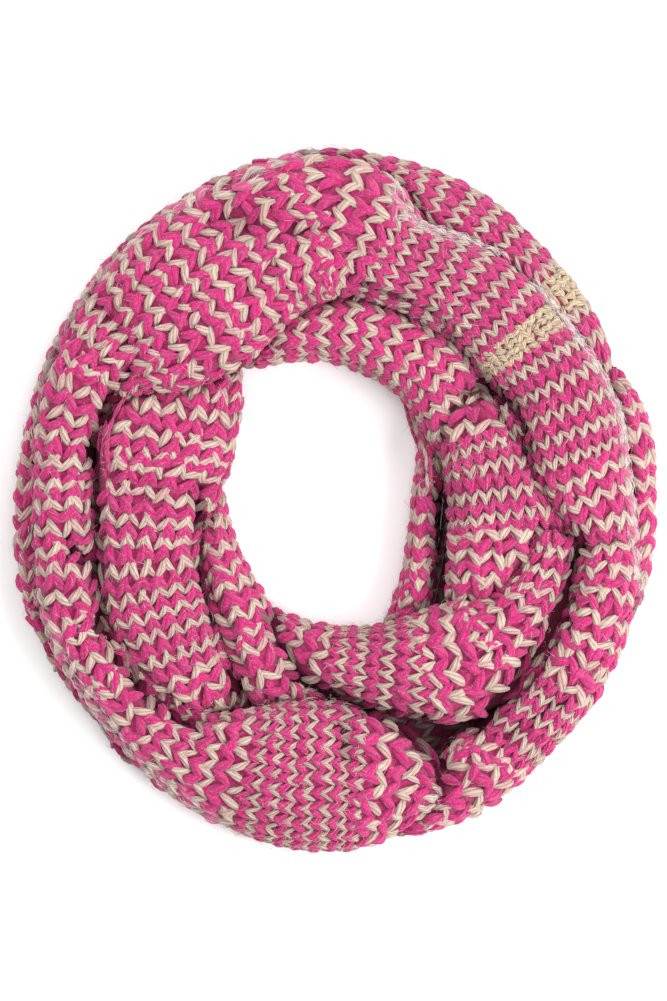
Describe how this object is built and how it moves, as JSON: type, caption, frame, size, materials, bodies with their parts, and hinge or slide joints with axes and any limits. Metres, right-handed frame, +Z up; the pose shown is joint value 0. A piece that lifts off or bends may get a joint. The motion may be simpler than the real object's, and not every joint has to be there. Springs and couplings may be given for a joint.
{
  "type": "infinity scarf",
  "caption": "Chunky two-colour knit infinity scarf, wound twice and laid flat in a ring, its rolled stretches of stockinette crossing over each other.",
  "frame": {"origin": "middle of the laid scarf's bounding box, on the table under it", "axes": "+Z up from the table, +Y towards the side of the ring at the top of the picture, +X to its right"},
  "size_m": [0.3845, 0.422, 0.0623],
  "materials": {
    "knit": "hairy loosely plied yarn in magenta and beige rows, matt",
    "cream_knit": "plain cream knit of the joining seam, matt"
  },
  "bodies": {
    "root": {"right_turn": "knit", "joined_band": "cream_knit", "top_turn": "knit", "left_turn": "knit", "bottom_turn": "knit", "inner_left": "knit", "innermost_left": "knit", "bottom_inner": "knit", "right_lower": "knit", "mid_right": "knit", "top_inner": "knit", "right_inner_edge": "knit", "under_top_right": "knit", "under_left": "knit", "right_rim": "knit", "hidden_layers": "knit"}
  },
  "joints": []
}
